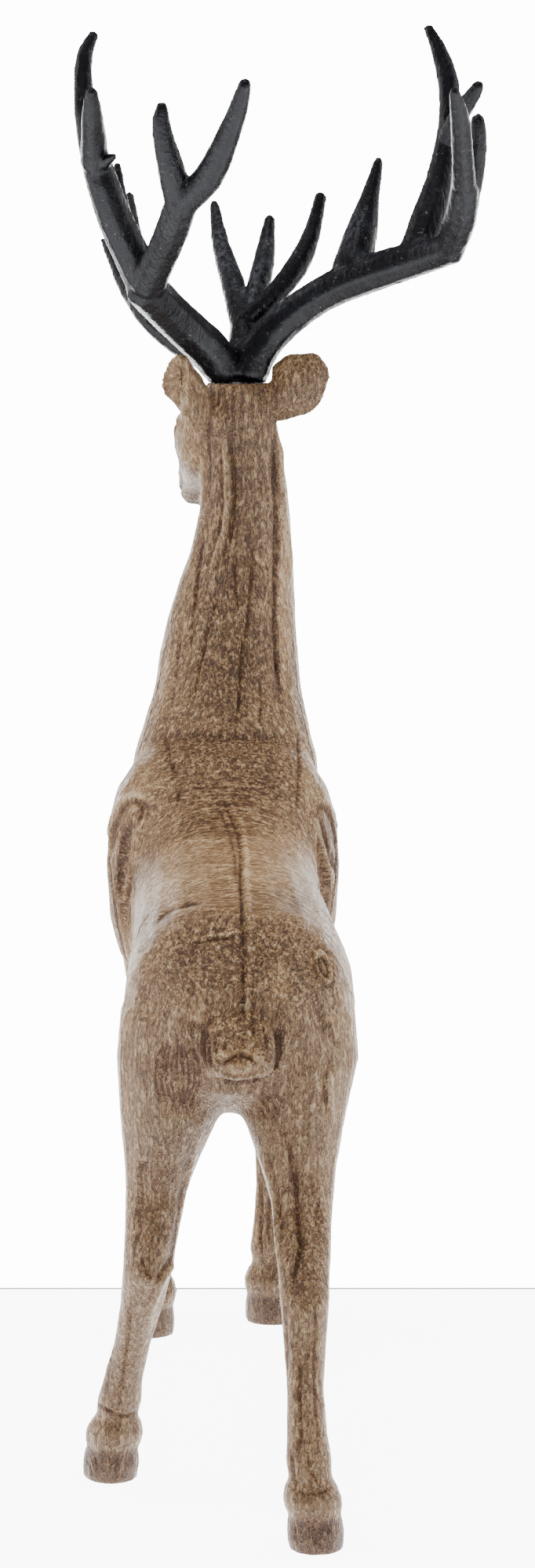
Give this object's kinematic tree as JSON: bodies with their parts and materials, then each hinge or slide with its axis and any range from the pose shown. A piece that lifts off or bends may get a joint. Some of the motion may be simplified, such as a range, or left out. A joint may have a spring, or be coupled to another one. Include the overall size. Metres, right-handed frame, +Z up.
{
  "type": "reindeer figurine",
  "caption": "Standing stag figurine in cast resin with a carved-wood look, head turned to its left, with branching dark antlers; a free-standing table ornament.",
  "frame": {"origin": "on the ground under the middle of the figurine's box", "axes": "+Z up, +Y the way the stag faces, +X to its right"},
  "size_m": [0.1508, 0.3436, 0.5],
  "materials": {
    "carved_wood_resin": "cast resin with a carved-wood texture, tan with a brown wash in the grooves, matt",
    "dark_resin": "cast resin, painted near-black, satin"
  },
  "bodies": {
    "root": {"deer": "carved_wood_resin", "antlers": "dark_resin"}
  },
  "joints": []
}
